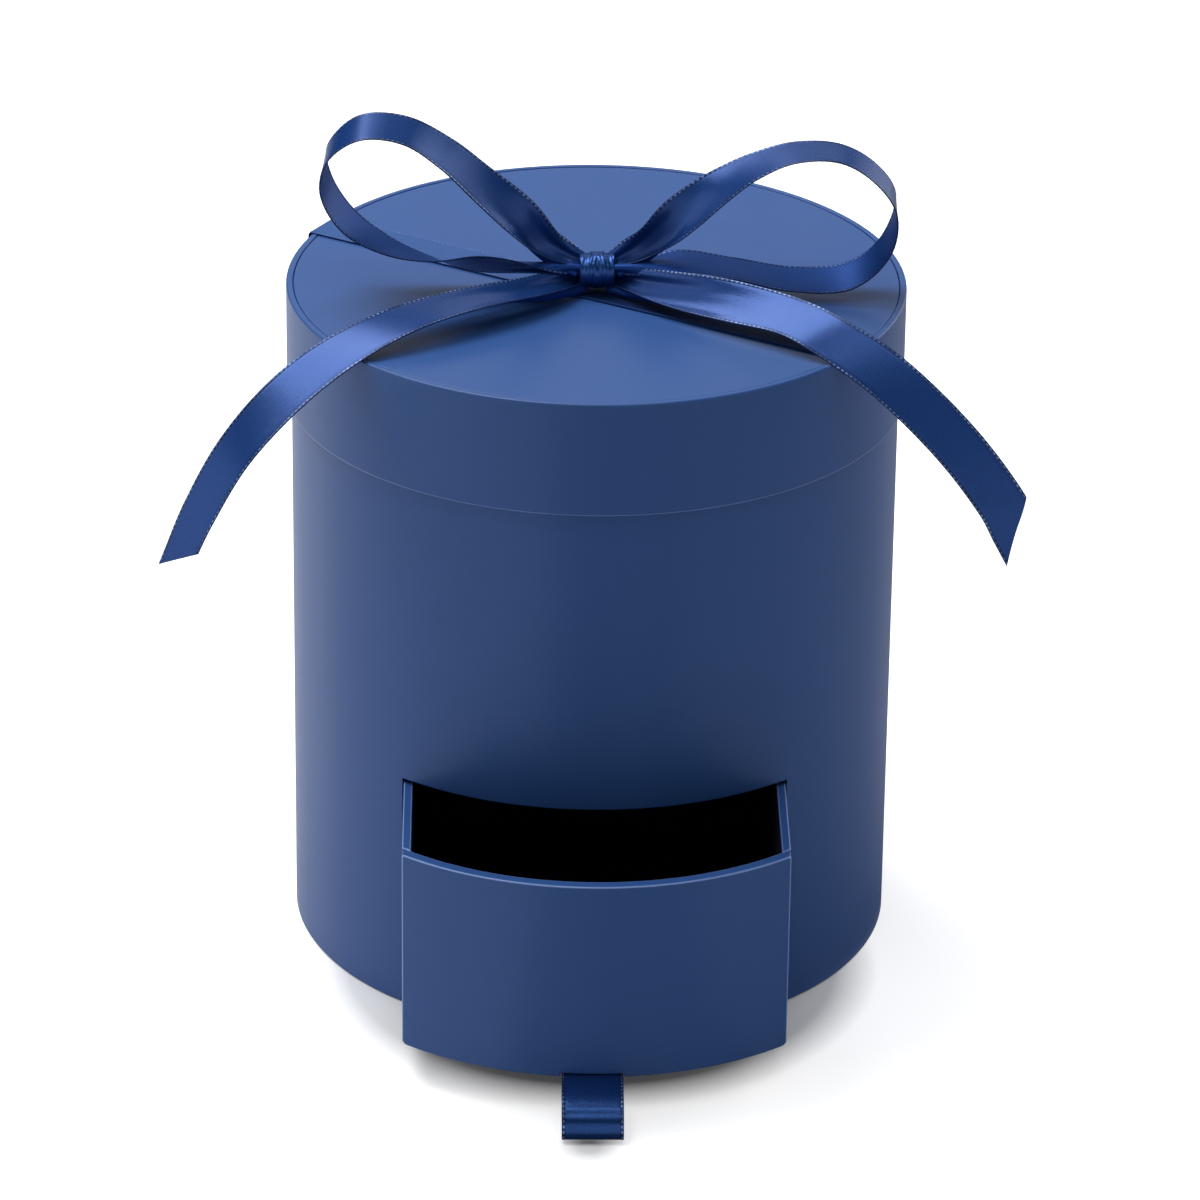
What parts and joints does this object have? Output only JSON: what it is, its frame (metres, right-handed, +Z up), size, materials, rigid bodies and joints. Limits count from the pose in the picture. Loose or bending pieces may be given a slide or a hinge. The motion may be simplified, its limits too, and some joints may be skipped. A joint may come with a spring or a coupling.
{
  "type": "round gift box",
  "caption": "Round paper-wrapped gift box with a lift-off lid, a curved-front drawer with a ribbon pull, and a satin ribbon bow across the lid.",
  "frame": {"origin": "centre of the base on the surface that the box stands on", "axes": "+Z up; -Y is the front, where the drawer opens; +X is to the right seen from the front"},
  "size_m": [0.2738, 0.2681, 0.2822],
  "materials": {
    "wrap_paper": "satin",
    "lining_paper": "matte",
    "board": "matte",
    "satin_ribbon": "satin"
  },
  "bodies": {
    "box": {"body_tube": "wrap_paper", "base_disc": "board", "riser_ring": "board", "drawer_deck": "lining_paper", "compartment_floor": "lining_paper", "drawer_guide_left": "lining_paper", "drawer_guide_right": "lining_paper", "drawer_stop": "lining_paper"},
    "drawer": {"drawer_front": "wrap_paper", "drawer_side_left": "wrap_paper", "drawer_side_right": "wrap_paper", "drawer_back": "wrap_paper", "drawer_bottom": "lining_paper", "pull_ribbon": "satin_ribbon"},
    "lid": {"lid_wall": "wrap_paper", "lid_top": "wrap_paper", "lid_lining": "lining_paper", "ribbon_band": "satin_ribbon", "bow_knot": "satin_ribbon", "bow_loop_left": "satin_ribbon", "bow_loop_right": "satin_ribbon", "bow_tail_left": "satin_ribbon", "bow_tail_right": "satin_ribbon"}
  },
  "joints": [
    {"name": "drawer_slide", "type": "slide", "parent": "box", "child": "drawer", "axis": [0, -1, 0], "range_m": [-0.0494, 0.0706]},
    {"name": "lid_lift", "type": "slide", "parent": "box", "child": "lid", "axis": [0, 0, 1], "range_m": [0, 0.07]}
  ]
}
